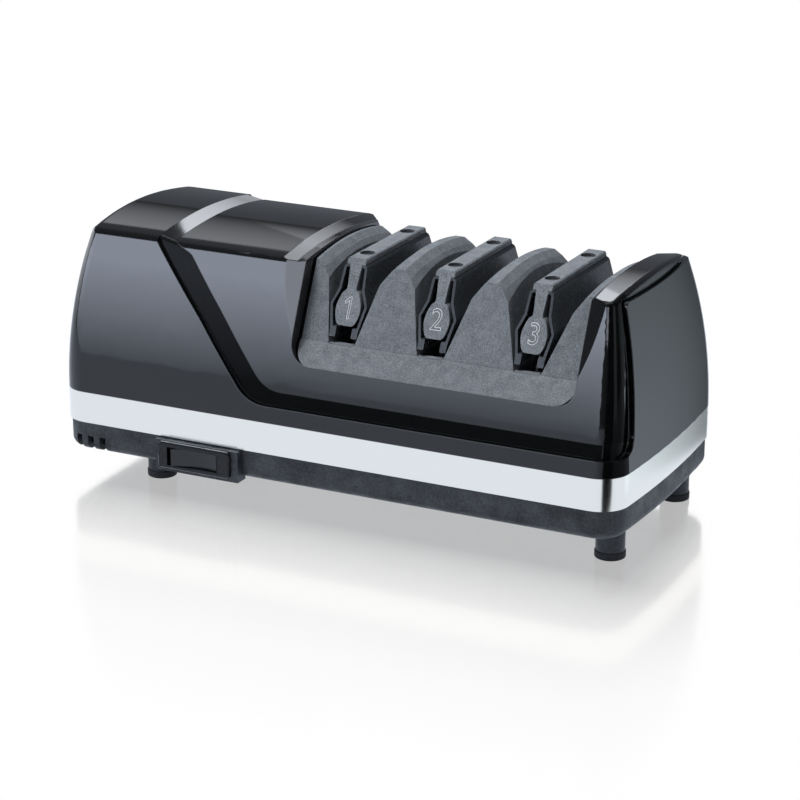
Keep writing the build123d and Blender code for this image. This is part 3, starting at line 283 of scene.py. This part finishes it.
lamp("key_lamp", (-420, -250, 1450), watts=31.0, size_m=0.4)
lamp("top_lamp", (-100, 200, 1450), watts=15.0, size_m=1.0)
lamp("side_lamp", (1200, -300, 600), watts=1.5, size_m=0.8)


# ---------------------------------------------------------------- upper housing
# ABS moulded in a polished tool, piano black. The tool's polish leaves a very slight waviness, and every
# edge has a small radius. The floor of the wide groove was left dull, so it stays black.
EDGE_RADIUS = 0.55
WAVE_LENGTH = 16.0
WAVE_DEPTH = 0.003
SMEAR_SIZE = 30.0              # patches that are polished a little less
BAND_TOP_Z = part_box("trim_band")[1][2] / MM
HALF_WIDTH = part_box("trim_band")[1][1] / MM
FACE_RADIUS = 196.0            # the front and rear faces are arcs, seen from the end
FACE_START = radians(3.0)      # and lean inwards by this at the band
GROOVE = (1.9, 3.0)            # how far the floor of the groove lies behind the face
FACING = 0.9                   # and its normal is nearly along Y
CORNER_START_X = 104.0         # the same groove runs up the front right corner, in front of the end panel
CORNER_DEPTH = 11.0
CORNER_TURN = (0.15, 0.55)     # X of the normal over which the corner's floor goes from gloss to dull
CORNER_FRONT = -0.1            # Y of the normal below which the corner still faces the front
FULL_GLEAM = 0.5
DULL_GLEAM = 0.04


def finish(name, colour, roughness, **more):
    """A principled material; returns the material, its tree, its shader and its object coordinates."""
    material = bpy.data.materials.new(name)
    material.use_nodes = True
    tree = material.node_tree
    shader = tree.nodes["Principled BSDF"]
    shader.inputs["Base Color"].default_value = linear(colour)
    shader.inputs["Roughness"].default_value = roughness
    for key, value in more.items():
        shader.inputs[key.replace("_", " ")].default_value = value
    place = add(tree, "TexCoord").outputs["Object"]
    return material, tree, shader, place


def dress(material, *nodes):
    """Gives the CAD nodes a material."""
    for name in nodes:
        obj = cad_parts[name]
        obj.data.materials.clear()
        obj.data.materials.append(material)


def between(tree, shader, factor, low, high, socket="Base Color"):
    """Mixes two colours or two numbers into a socket of the shader by a pattern."""
    if socket == "Base Color":
        mix = add(tree, "Mix", data_type="RGBA")
        mix.inputs[6].default_value = linear(low)
        mix.inputs[7].default_value = linear(high)
        tree.links.new(factor, mix.inputs[0])
        tree.links.new(mix.outputs[2], shader.inputs[socket])
    else:
        span = add(tree, "MapRange", [(0, factor)], To_Min=low, To_Max=high)
        tree.links.new(span.outputs[0], shader.inputs[socket])


material, tree, shader, place = finish("polished_black_abs", "#060708", 0.045, IOR=1.5)
wave = add(tree, "TexNoise", [("Vector", place)], Scale=1 / (WAVE_LENGTH * MM), Detail=0.0)
smear = add(tree, "TexNoise", [("Vector", place)], Scale=1 / (SMEAR_SIZE * MM), Detail=3.0)
between(tree, shader, smear.outputs[0], 0.03, 0.06, "Roughness")
rounded = add(tree, "Bevel", samples=6, Radius=EDGE_RADIUS * MM)
waves = add(tree, "Bump", [("Height", wave.outputs[0]), ("Normal", rounded.outputs[0])],
            Distance=WAVE_DEPTH * MM)
tree.links.new(waves.outputs[0], shader.inputs["Normal"])

# How deep a point lies behind the arc of the front or rear face.
axes = add(tree, "SeparateXYZ", [(0, place)])
height = add(tree, "Math", [(0, axes.outputs["Z"])], operation="MULTIPLY_ADD", i1=1 / (FACE_RADIUS * MM),
             i2=sin(FACE_START) - BAND_TOP_Z / FACE_RADIUS)
squared = add(tree, "Math", [(0, height.outputs[0]), (1, height.outputs[0])], operation="MULTIPLY")
rest = add(tree, "Math", [(1, squared.outputs[0])], operation="SUBTRACT", i0=1.0)
root = add(tree, "Math", [(0, rest.outputs[0])], operation="SQRT")
face_y = add(tree, "Math", [(0, root.outputs[0])], operation="MULTIPLY_ADD", i1=FACE_RADIUS * MM,
             i2=(HALF_WIDTH - FACE_RADIUS * cos(FACE_START)) * MM)
half_y = add(tree, "Math", [(0, axes.outputs["Y"])], operation="ABSOLUTE")
depth = add(tree, "Math", [(0, face_y.outputs[0]), (1, half_y.outputs[0])], operation="SUBTRACT")

# The floor of the groove along the front and the rear.
behind = add(tree, "Math", [(0, depth.outputs[0])], operation="GREATER_THAN", i1=GROOVE[0] * MM)
before = add(tree, "Math", [(0, depth.outputs[0])], operation="LESS_THAN", i1=GROOVE[1] * MM)
normal = add(tree, "SeparateXYZ", [(0, add(tree, "NewGeometry").outputs["True Normal"])])
tilt = add(tree, "Math", [(0, normal.outputs["Y"])], operation="ABSOLUTE")
upright = add(tree, "Math", [(0, tilt.outputs[0])], operation="GREATER_THAN", i1=FACING)
deep = add(tree, "Math", [(0, behind.outputs[0]), (1, before.outputs[0])], operation="MULTIPLY")
along_front = add(tree, "Math", [(0, deep.outputs[0]), (1, upright.outputs[0])], operation="MULTIPLY")

# Its floor where it turns up the front right corner.
past_front = add(tree, "Math", [(0, axes.outputs["X"])], operation="GREATER_THAN", i1=CORNER_START_X * MM)
near_front = add(tree, "Math", [(0, axes.outputs["Y"])], operation="LESS_THAN", i1=0.0)
shallow = add(tree, "Math", [(0, depth.outputs[0])], operation="LESS_THAN", i1=CORNER_DEPTH * MM)
smooth = add(tree, "SeparateXYZ", [(0, add(tree, "NewGeometry").outputs["Normal"])])
turned = add(tree, "MapRange", [(0, smooth.outputs["X"])], From_Min=CORNER_TURN[0], From_Max=CORNER_TURN[1])
frontal = add(tree, "Math", [(0, smooth.outputs["Y"])], operation="LESS_THAN", i1=CORNER_FRONT)
up_corner = past_front.outputs[0]
for test in (near_front, shallow, turned, frontal):
    up_corner = add(tree, "Math", [(0, up_corner), (1, test.outputs[0])], operation="MULTIPLY").outputs[0]
groove = add(tree, "Math", [(0, along_front.outputs[0]), (1, up_corner)], operation="MAXIMUM")
gleam = add(tree, "MapRange", [(0, groove.outputs[0])], To_Min=FULL_GLEAM, To_Max=DULL_GLEAM)
tree.links.new(gleam.outputs[0], shader.inputs["Specular IOR Level"])
dress(material, "upper_housing")


# ---------------------------------------------------------------- trim band
# Aluminium strip bent round the body and pushed over the rim of the tub, under the housing. It is satin
# anodised, with very fine lines along its length that spread its reflections a little upwards.
LINE_LENGTH = 20.0
LINE_STRETCH = (1.5, 1.5, 60.0)
LINE_DEPTH = 0.01
LINE_STRENGTH = 0.3


def bump(tree, shader, height, size_mm, strength=1.0):
    """Relief from a height pattern, size_mm deep."""
    node = add(tree, "Bump", [("Height", height)], Strength=strength, Distance=size_mm * MM)
    tree.links.new(node.outputs[0], shader.inputs["Normal"])


material, tree, shader, place = finish("satin_anodised_aluminium", "#e4e1d8", 0.2, Metallic=1.0)
stretched = add(tree, "Mapping", [("Vector", place)], Scale=LINE_STRETCH)
lines = add(tree, "TexNoise", [("Vector", stretched.outputs[0])], Scale=1 / (LINE_LENGTH * MM), Detail=4.0)
between(tree, shader, lines.outputs[0], 0.14, 0.22, "Roughness")
bump(tree, shader, lines.outputs[0], LINE_DEPTH, LINE_STRENGTH)
dress(material, "trim_band")


# ---------------------------------------------------------------- base tub and clean-out cover
# Charcoal ABS from a spark-eroded tool: a coarse grain with specks that catch the light, drawn about
# 1 mm wide so that it shows, and larger clouds where the grain is a little denser.
CLOUD_SIZE = 9                 # in grains
PIT_EDGES = (0.36, 0.66)       # heights of the pattern below which all is dark and above which all is pale
SHEEN_SPREAD = 0.08            # roughness above and below the mean


def grained(name, dark, pale, grain_mm, relief_mm, roughness, mottle=0.25, gleam=0.25):
    """Plastic with small pits and specks; mottle is the share of the clouds, gleam the specular level."""
    material, tree, shader, place = finish(name, dark, roughness, Specular_IOR_Level=gleam)
    pits = add(tree, "TexNoise", [("Vector", place)], Scale=1 / (grain_mm * MM), Detail=3.0, Roughness=0.6)
    clouds = add(tree, "TexNoise", [("Vector", place)], Scale=1 / (CLOUD_SIZE * grain_mm * MM), Detail=2.0)
    blend = add(tree, "Mix", [(2, pits.outputs[0]), (3, clouds.outputs[0])], data_type="FLOAT", i0=mottle)
    sharp = add(tree, "MapRange", [(0, blend.outputs[0])], From_Min=PIT_EDGES[0], From_Max=PIT_EDGES[1])
    between(tree, shader, sharp.outputs[0], dark, pale)
    between(tree, shader, sharp.outputs[0], roughness + SHEEN_SPREAD, roughness - SHEEN_SPREAD, "Roughness")
    bump(tree, shader, pits.outputs[0], relief_mm)
    return material


dress(grained("spark_eroded_charcoal_abs", "#0f1114", "#33383d", grain_mm=1.0, relief_mm=0.12,
              roughness=0.46, mottle=0.5), "base_tub", "clean_out_cover")


# ---------------------------------------------------------------- feet and inlet bush
# Soft black rubber, moulded matt: four pads with plugs that fill the screw holes under the foot posts, and
# the bush that a flange and a catch hold in the hole for the lead at the back.
dress(grained("matt_black_rubber", "#0b0c0d", "#16181a", grain_mm=1.2, relief_mm=0.04, roughness=0.7),
      "cord_inlet_bush", *[f"foot_pad_{row}_{end}" for row in ("front", "rear") for end in ("left", "right")])


# ---------------------------------------------------------------- switch frame, switch body and fan
# Black ABS from a fine satin tool. The frame's sleeve goes into the boss on the tub and holds the rocker,
# with the switch body behind it. The fan on the shaft is made of the same plastic.
dress(grained("satin_black_bezel", "#0c0d0f", "#15171a", grain_mm=1.6, relief_mm=0.02, roughness=0.3),
      "switch_bezel", "switch_body", "cooling_fan")


# ---------------------------------------------------------------- rocker
# ABS from a polished tool, darker and glossier than the frame round it. Its face is dished, and it tilts
# about an upright line inside the frame.
ROCKER_WAVE = 6.0
ROCKER_WAVE_DEPTH = 0.006
material, tree, shader, place = finish("polished_black_rocker", "#08090a", 0.1, IOR=1.5)
wave = add(tree, "TexNoise", [("Vector", place)], Scale=1 / (ROCKER_WAVE * MM), Detail=2.0)
between(tree, shader, wave.outputs[0], 0.08, 0.16, "Roughness")
bump(tree, shader, wave.outputs[0], ROCKER_WAVE_DEPTH)
dress(material, "rocker_button")


# ---------------------------------------------------------------- guide insert
# Grey ABS from a finely spark-eroded tool, set into the housing's opening. Its grain is half a millimetre
# wide and takes nearly all gloss away.
dress(grained("spark_eroded_grey_insert", "#42464b", "#686d73", grain_mm=0.5, relief_mm=0.06, roughness=0.5,
              gleam=0.12), "guide_insert")


# ---------------------------------------------------------------- spines and caps
# The same grey ABS with paler specks. A spine stands between the two slots of each stage and its cap lies
# on top, held by two screws that go down through the guide and the spine into the insert.
STAGES = (1, 2, 3)
dress(grained("spark_eroded_grey_spine", "#404449", "#6f747a", grain_mm=0.5, relief_mm=0.06, roughness=0.5,
              mottle=0.2, gleam=0.15), *[f"stage_{n}_{piece}" for n in STAGES for piece in ("spine", "cap")])


# ---------------------------------------------------------------- spring guides
# Each is one moulding of smooth dark acetal, springy and slippery, clamped between spine and cap. Its two
# leaves bulge into the slots of the stage and end in small pads.
dress(grained("smooth_dark_acetal", "#1d2023", "#2a2d31", grain_mm=2.0, relief_mm=0.01, roughness=0.3),
      *[f"stage_{n}_spring_guide" for n in STAGES])


# ---------------------------------------------------------------- shaft and stop pins
# Ground steel, with fine turning marks round the shaft. The pins cross it at each stage and stop the two
# discs, which the spring pushes apart.
EVEN = (1.0, 1.0, 1.0)         # marks that run no particular way
MARK_DEPTH = 0.01
MARK_STRENGTH = 0.4
MARK_SMOOTHEST = -0.08         # roughness of the marks, set against the mean
MARK_ROUGHEST = 0.1


def metal(name, colour, other, roughness, marks_mm, stretch=EVEN):
    """Metal with fine marks of turning, drawing, stamping or casting, which stretch sets along the axes."""
    material, tree, shader, place = finish(name, colour, roughness, Metallic=1.0)
    marks = add(tree, "Mapping", [("Vector", place)], Scale=stretch)
    noise = add(tree, "TexNoise", [("Vector", marks.outputs[0])], Scale=1 / (marks_mm * MM), Detail=4.0)
    between(tree, shader, noise.outputs[0], colour, other)
    between(tree, shader, noise.outputs[0], roughness + MARK_SMOOTHEST, roughness + MARK_ROUGHEST, "Roughness")
    bump(tree, shader, noise.outputs[0], MARK_DEPTH, MARK_STRENGTH)
    return material


ground_steel = metal("ground_steel", "#9fa2a5", "#c4c6c8", roughness=0.28, marks_mm=1.0,
                     stretch=(8.0, 1.0, 1.0))
dress(ground_steel, "drive_shaft", "stop_pins", *[f"stage_{n}_spring" for n in STAGES])


# ---------------------------------------------------------------- screws
# Steel, blackened against rust. The housing's come up through the feet, those of a stage go down through
# its cap, and the motor's pass through stator and brackets and end in nuts.
dress(metal("blackened_steel", "#2b2c2e", "#45474a", roughness=0.4, marks_mm=1.0), "housing_screws",
      "motor_screws", *[f"stage_{n}_screws" for n in STAGES])


# ---------------------------------------------------------------- motor
# Stamped laminations, coils of enamelled copper wire, die-cast brackets and bushes of sintered bronze
# soaked in oil. The far end of the shaft runs in the same kind of bush and bracket.
dress(metal("stamped_laminations", "#6c6f72", "#8b8e91", roughness=0.45, marks_mm=1.0,
            stretch=(6.0, 0.2, 0.2)), "motor_stator", "rotor")
dress(metal("enamelled_copper_wire", "#8e4422", "#b9653a", roughness=0.3, marks_mm=0.6,
            stretch=(0.1, 0.1, 6.0)), "motor_coil_upper", "motor_coil_lower")
dress(metal("die_cast_bracket", "#8f9295", "#a9acaf", roughness=0.45, marks_mm=2.0), "motor_bracket_left",
      "motor_bracket_right", "far_end_bracket")
dress(metal("sintered_bronze", "#8a6c34", "#a98848", roughness=0.42, marks_mm=0.6), "motor_bush_left",
      "motor_bush_right", "far_end_bush")


# ---------------------------------------------------------------- clean-out magnet
# A bar of sintered ferrite. It lies in the tray of the clean-out cover, under the discs, and holds the
# steel dust that falls there.
dress(metal("sintered_ferrite", "#2c2c2e", "#3c3c3f", roughness=0.55, marks_mm=0.8), "clean_out_magnet")


# ---------------------------------------------------------------- sharpening discs
# Steel coated with diamond grit in the first two stages, the grit drawn as coarse as it needs to show. The
# third pair is a flexible pale compound that polishes the edge. All slide on the shaft by their hubs.
dress(metal("diamond_coated_steel", "#3a3d40", "#6c7074", roughness=0.5, marks_mm=0.35),
      *[f"stage_{n}_disc_{side}" for n in (1, 2) for side in ("left", "right")])
dress(grained("flexible_strop_disc", "#9da0a3", "#c3c6c9", grain_mm=0.6, relief_mm=0.02, roughness=0.22),
      *[f"stage_3_disc_{side}" for side in ("left", "right")])


# ---------------------------------------------------------------- stage springs
# Steel wire coiled round the shaft between the two discs of a stage. Each disc presses its own half of the
# coil together as it slides in, so the coil is parted at its middle into two halves that ride with the shaft.
SAME_POINT = 0.001             # mm: corners of the solid's triangles nearer than this are one
for n in STAGES:
    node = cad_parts[f"stage_{n}_spring"]
    low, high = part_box(f"stage_{n}_spring")
    middle = (low[0] + high[0]) / 2
    for side, outwards in (("left", -1), ("right", 1)):
        bm = bmesh.new()
        bm.from_mesh(node.data)
        bmesh.ops.remove_doubles(bm, verts=bm.verts, dist=SAME_POINT * MM)
        cut = bmesh.ops.bisect_plane(bm, geom=bm.verts[:] + bm.edges[:] + bm.faces[:],
                                     dist=0.1 * SAME_POINT * MM, plane_co=(middle, 0, 0),
                                     plane_no=(outwards, 0, 0), clear_inner=True)
        bmesh.ops.holes_fill(bm, edges=[e for e in cut["geom_cut"] if isinstance(e, bmesh.types.BMEdge)])
        bmesh.ops.recalc_face_normals(bm, faces=bm.faces)
        mesh = bpy.data.meshes.new(f"stage_{n}_coil_{side}")
        bm.to_mesh(mesh)
        bm.free()
        mesh.materials.append(ground_steel)
        coil = bpy.data.objects.new(f"stage_{n}_coil_{side}", mesh)
        bpy.context.scene.collection.objects.link(coil)
        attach(coil, "shaft")
        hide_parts(f"stage_{n}_spring")
        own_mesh(coil)


# ---------------------------------------------------------------- stage numbers
# Each number stands proud of the spine's pear-shaped face as a thin raised outline from the same tool.
# Its top is smoother than the grained ground, and its pale grey is a painted highlight along the outline,
# varied at random.
NUMBER_SIZE = 12.3
NUMBER_NARROW = 0.87
NUMBER_Z = 85.2
FACE_FOOT = (-41.3, 71.6)      # y and z of the foot of the leaning faces
FACE_LEAN = 0.46
OUTLINE_WIDTH = 0.3
OUTLINE_ROUNDNESS = 2
# Size in mm of the random mottle in the numbers' painted highlight.
HIGHLIGHT_MOTTLE_SIZE = 1.5
FIGURE_ONE = [(-0.17, 0.2), (0.02, 0.36), (0.09, 0.36), (0.09, -0.36), (0.01, -0.36), (0.01, 0.25),
              (-0.13, 0.13)]   # a plain figure 1 with its flag, in shares of the size
STAGE_X = [sum(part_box(f"stage_{n}_spine")[k][0] for k in (0, 1)) / 2 for n in STAGES]

# The pale grey is a painted highlight along the raised outlines; a random mottle varies its brightness.
number_highlight, tree, shader, place = finish("painted_highlight_number_outline", "#a9aeb4", 0.3)
highlight_mottle = add(tree, "TexNoise", [("Vector", place)], Scale=1 / (HIGHLIGHT_MOTTLE_SIZE * MM), Detail=2.0)
between(tree, shader, highlight_mottle.outputs[0], "#9ba0a6", "#c6cacf")
up = Vector((0, FACE_LEAN, 1)).normalized()
across = Vector((1, 0, 0))
turn = Matrix((across, up, across.cross(up))).transposed().to_4x4()
face_y_here = FACE_FOOT[0] + FACE_LEAN * (NUMBER_Z - FACE_FOOT[1])
for n, x in zip(STAGES, STAGE_X):
    if n == 1:
        curve = bpy.data.curves.new("stage_1_number", "CURVE")
        curve.dimensions = "3D"
        line = curve.splines.new("POLY")
        line.points.add(len(FIGURE_ONE) - 1)
        for point, (right, above) in zip(line.points, FIGURE_ONE):
            point.co = (right * NUMBER_SIZE * MM, above * NUMBER_SIZE * MM, 0, 1)
        line.use_cyclic_u = True
    else:
        curve = bpy.data.curves.new(f"stage_{n}_number", "FONT")
        curve.body = str(n)
        curve.size = NUMBER_SIZE * MM
        curve.align_x = "CENTER"
        curve.align_y = "CENTER"
        curve.fill_mode = "NONE"
    curve.bevel_depth = OUTLINE_WIDTH / 2 * MM
    curve.bevel_resolution = OUTLINE_ROUNDNESS
    text = bpy.data.objects.new("text", curve)
    bpy.context.scene.collection.objects.link(text)
    mesh = bpy.data.meshes.new_from_object(text.evaluated_get(bpy.context.evaluated_depsgraph_get()))
    bpy.data.objects.remove(text)
    mesh.transform(Matrix.Diagonal((NUMBER_NARROW, 1, 1, 1)))
    mesh.transform(Matrix.Translation(Vector((x, face_y_here * MM, NUMBER_Z * MM))) @ turn)
    mesh.name = f"stage_{n}_number"
    mesh.materials.clear()
    mesh.materials.append(number_highlight)
    number = bpy.data.objects.new(f"stage_{n}_number", mesh)
    bpy.context.scene.collection.objects.link(number)
    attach(number, "housing")
